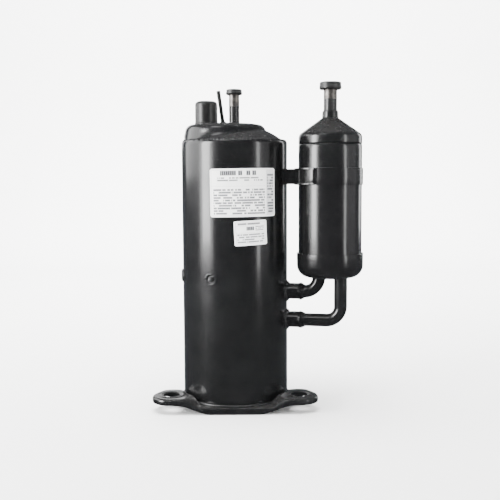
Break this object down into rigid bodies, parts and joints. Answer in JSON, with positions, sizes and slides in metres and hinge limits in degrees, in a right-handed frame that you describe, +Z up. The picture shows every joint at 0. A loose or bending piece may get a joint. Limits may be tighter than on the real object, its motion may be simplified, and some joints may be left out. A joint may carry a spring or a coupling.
{
  "type": "refrigeration rotary compressor",
  "caption": "Hermetic rotary compressor: welded black shell on a three-foot plate, with a strapped suction accumulator, plugged pipe stubs, a terminal cover and the motor and pump inside.",
  "frame": {"origin": "on the shell's axis, at the flat underside of the bottom cap and the plate's skirt", "axes": "+Z up along the shell's axis, +X towards the accumulator's side, -Y towards the labelled front"},
  "size_m": [0.2558, 0.1795, 0.393],
  "materials": {
    "black_enamel": "gloss",
    "painted_weld": "gloss over a rough bead",
    "label_film": "satin",
    "black_plastic": "satin",
    "sealing_glass": "polished",
    "bare_steel": "machined",
    "blackened_steel": "blackened",
    "lamination_steel": "satin",
    "magnet": "plated",
    "copper_wire": "enamelled",
    "insulator_plastic": "satin",
    "lead_sleeve": "satin",
    "brass": "satin",
    "copper": "drawn",
    "cast_iron": "ground"
  },
  "bodies": {
    "compressor": {"main_shell": "black_enamel", "top_lid": "black_enamel", "bottom_cap": "black_enamel", "mounting_plate": "black_enamel", "seam_welds": "painted_weld", "plug_welds": "painted_weld", "spec_label": "label_film", "serial_label": "label_film", "terminal_body": "bare_steel", "terminal_glass": "sealing_glass", "terminal_pins": "bare_steel", "cover_stud": "blackened_steel", "discharge_pipe": "copper", "suction_collars": "black_enamel", "collar_welds": "painted_weld", "suction_pipe_upper": "black_enamel", "suction_pipe_lower": "black_enamel", "suction_bushes": "copper", "pipe_brazing": "painted_weld", "accumulator_top": "black_enamel", "accumulator_body": "black_enamel", "accumulator_base": "black_enamel", "accumulator_screen": "bare_steel", "standpipe_support": "bare_steel", "inlet_pipe": "copper", "accumulator_bracket": "black_enamel", "accumulator_strap": "black_enamel", "stator_core": "lamination_steel", "stator_windings": "copper_wire", "winding_insulators": "insulator_plastic", "lead_wires": "lead_sleeve", "main_bearing": "cast_iron", "sub_bearing": "cast_iron", "upper_cylinder": "cast_iron", "lower_cylinder": "cast_iron", "middle_plate": "cast_iron", "vane_spring_upper": "bare_steel", "vane_spring_lower": "bare_steel", "valve_stops": "bare_steel", "valve_rivets": "bare_steel", "upper_muffler": "bare_steel", "lower_muffler": "bare_steel", "pump_bolts": "blackened_steel", "muffler_screws": "blackened_steel"},
    "crank": {"crankshaft": "bare_steel", "rotor_core": "lamination_steel", "rotor_magnets": "magnet", "rotor_end_plates": "bare_steel", "balance_weights": "brass", "rotor_rivets": "bare_steel", "oil_paddle": "bare_steel"},
    "roller_upper": {"roller_upper": "bare_steel"},
    "roller_lower": {"roller_lower": "bare_steel"},
    "vane_upper": {"vane_upper": "bare_steel"},
    "vane_lower": {"vane_lower": "bare_steel"},
    "reed_upper": {"discharge_reed_upper": "bare_steel"},
    "reed_lower": {"discharge_reed_lower": "bare_steel"},
    "discharge_plug": {"discharge_plug": "black_plastic"},
    "suction_plug": {"suction_plug": "black_plastic"},
    "terminal_cover": {"terminal_cover": "black_plastic"}
  },
  "joints": [
    {"name": "crank_spin", "type": "hinge", "parent": "compressor", "child": "crank", "pos_m": [0, 0, 0.1232], "axis": [0, 0, 1], "continuous": true},
    {"name": "roller_upper_spin", "type": "hinge", "parent": "crank", "child": "roller_upper", "pos_m": [-0.00119, 0.00434, 0.1408], "axis": [0, 0, 1], "continuous": true},
    {"name": "roller_lower_spin", "type": "hinge", "parent": "crank", "child": "roller_lower", "pos_m": [0.00119, -0.00434, 0.1056], "axis": [0, 0, 1], "continuous": true},
    {"name": "vane_upper_slide", "type": "slide", "parent": "compressor", "child": "vane_upper", "axis": [-0.9646, -0.2639, 0], "range_m": [0, 0.0046], "deforming": ["vane_spring_upper"]},
    {"name": "vane_lower_slide", "type": "slide", "parent": "compressor", "child": "vane_lower", "axis": [-0.9646, -0.2639, 0], "range_m": [0, 0.0046], "deforming": ["vane_spring_lower"]},
    {"name": "reed_upper_lift", "type": "hinge", "parent": "compressor", "child": "reed_upper", "pos_m": [0.00252, 0.02695, 0.167], "axis": [-0.6782, -0.7349, 0], "range_deg": [0, 4.5], "stiffness_Nm_per_rad": 0.05, "deforming": ["discharge_reed_upper"]},
    {"name": "reed_lower_lift", "type": "hinge", "parent": "compressor", "child": "reed_lower", "pos_m": [0.00252, 0.02695, 0.0824], "axis": [0.6782, 0.7349, 0], "range_deg": [0, 4.5], "stiffness_Nm_per_rad": 0.05, "deforming": ["discharge_reed_lower"]},
    {"name": "discharge_plug_pull", "type": "slide", "parent": "compressor", "child": "discharge_plug", "axis": [0, 0, 1], "range_m": [0, 0.06]},
    {"name": "suction_plug_pull", "type": "slide", "parent": "compressor", "child": "suction_plug", "axis": [0, 0, 1], "range_m": [0, 0.06]},
    {"name": "terminal_cover_pull", "type": "slide", "parent": "compressor", "child": "terminal_cover", "axis": [0, 0, 1], "range_m": [0, 0.06]}
  ]
}
